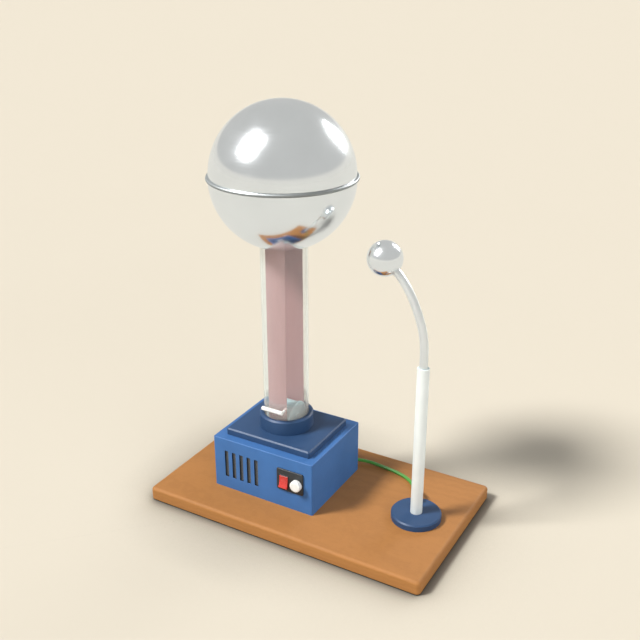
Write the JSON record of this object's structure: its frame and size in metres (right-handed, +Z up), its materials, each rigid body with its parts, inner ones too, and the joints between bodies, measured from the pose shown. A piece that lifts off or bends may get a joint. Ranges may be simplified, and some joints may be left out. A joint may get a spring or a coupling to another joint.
{
  "type": "van de graaff generator",
  "caption": "Bench belt electrostatic generator: clear column with moving belt, round metal dome, blue housing with switch and speed knob, and a discharge ball on a post, on a wooden board.",
  "frame": {"origin": "on the table under the centre of the board, at the underside of the rubber feet", "axes": "+Z up along the column, +X along the board's long side towards the discharge ball, -Y the front with the vents and the switch"},
  "size_m": [0.498, 0.29, 0.668],
  "materials": {
    "wood": "satin varnish",
    "rubber": "matte",
    "blue_paint": "satin powder coat",
    "navy_paint": "satin powder coat",
    "clear_acrylic": "polished clear",
    "belt_rubber": "matte",
    "polished_aluminium": "polished",
    "ring_metal": "satin",
    "zinc_plate": "zinc plated",
    "steel": "bright",
    "nylon": "matte",
    "white_plastic": "satin",
    "black_plastic": "satin",
    "filter_foam": "matte",
    "wire_black": "satin",
    "red_plastic": "gloss",
    "brass": "bright",
    "tinned_copper": "tinned",
    "green_pvc": "satin",
    "motor_case": "satin",
    "circuit_board": "satin"
  },
  "bodies": {
    "stand": {"base_board": "wood", "foot_front_left": "rubber", "foot_front_right": "rubber", "foot_rear_left": "rubber", "foot_rear_right": "rubber", "drive_ring": "rubber", "housing_shell": "blue_paint", "top_plate": "navy_paint", "column_collar": "navy_paint", "wand_foot": "navy_paint", "column_tube": "clear_acrylic", "belt": "belt_rubber", "dome_lower": "polished_aluminium", "equator_ring": "ring_metal", "chassis_plate": "zinc_plate", "roller_bracket": "zinc_plate", "motor_bracket": "zinc_plate", "collector_strap": "zinc_plate", "dome_seat": "zinc_plate", "speed_pot": "zinc_plate", "lower_axle": "steel", "upper_axle": "steel", "housing_screw_1": "steel", "housing_screw_2": "steel", "housing_screw_3": "steel", "housing_screw_4": "steel", "wand_screw": "steel", "comb_grommet": "nylon", "arm_bush": "nylon", "post_plug": "nylon", "wand_post": "white_plastic", "comb_rod": "white_plastic", "switch_panel": "black_plastic", "switch_body": "black_plastic", "power_inlet": "black_plastic", "terminal_base": "black_plastic", "vent_filter": "filter_foam", "wire_inlet_switch": "wire_black", "wire_switch_board": "wire_black", "wire_board_motor": "wire_black", "upper_comb": "brass", "terminal_stud": "brass", "wand_stud": "brass", "lug_housing": "tinned_copper", "lug_wand": "tinned_copper", "earth_lead": "green_pvc", "motor_body": "motor_case", "control_board": "circuit_board"},
    "lower_drive": {"lower_roller": "nylon"},
    "motor_rotor": {"motor_shaft": "steel", "motor_pulley": "brass"},
    "upper_idler": {"upper_roller": "nylon"},
    "power_rocker": {"rocker": "red_plastic"},
    "speed_control": {"knob": "white_plastic", "pot_shaft": "steel"},
    "dome_lid": {"dome_upper": "polished_aluminium"},
    "ball_arm": {"wand_arm": "polished_aluminium", "discharge_ball": "polished_aluminium"},
    "terminal_thumb_nut": {"terminal_nut": "brass"},
    "wand_thumb_nut": {"wand_nut": "brass"}
  },
  "joints": [
    {"name": "lower_roller_spin", "type": "hinge", "parent": "stand", "child": "lower_drive", "pos_m": [-0.0646, 0.0005, 0.146], "axis": [1, 0, 0], "continuous": true},
    {"name": "motor_spin", "type": "hinge", "parent": "stand", "child": "motor_rotor", "pos_m": [-0.0911, 0.0005, 0.06], "axis": [1, 0, 0], "continuous": true},
    {"name": "upper_roller_spin", "type": "hinge", "parent": "stand", "child": "upper_idler", "pos_m": [-0.0646, 0.0005, 0.52], "axis": [1, 0, 0], "continuous": true},
    {"name": "power_switch", "type": "hinge", "parent": "stand", "child": "power_rocker", "pos_m": [-0.0203, -0.0805, 0.0738], "axis": [1, 0, 0], "range_deg": [0, 19.2]},
    {"name": "speed_knob", "type": "hinge", "parent": "stand", "child": "speed_control", "pos_m": [0.005, -0.085, 0.0763], "axis": [0, -1, 0], "range_deg": [-135, 135]},
    {"name": "dome_lift", "type": "slide", "parent": "stand", "child": "dome_lid", "axis": [0, 0, 1], "range_m": [0, 0.16]},
    {"name": "arm_swivel", "type": "hinge", "parent": "stand", "child": "ball_arm", "pos_m": [0.1778, 0.001, 0.3], "axis": [0, 0, 1], "continuous": true},
    {"name": "terminal_nut_turn", "type": "hinge", "parent": "stand", "child": "terminal_thumb_nut", "pos_m": [-0.014, 0.0907, 0.05], "axis": [0, 1, 0], "range_deg": [0, 360]},
    {"name": "wand_nut_turn", "type": "hinge", "parent": "stand", "child": "wand_thumb_nut", "pos_m": [0.169, 0.028, 0.041], "axis": [0, 0, 1], "range_deg": [0, 360]}
  ],
  "couplings": [
    {"joint": "motor_spin", "follows": "lower_roller_spin", "ratio": 1.5682},
    {"joint": "upper_roller_spin", "follows": "lower_roller_spin", "ratio": 1}
  ]
}
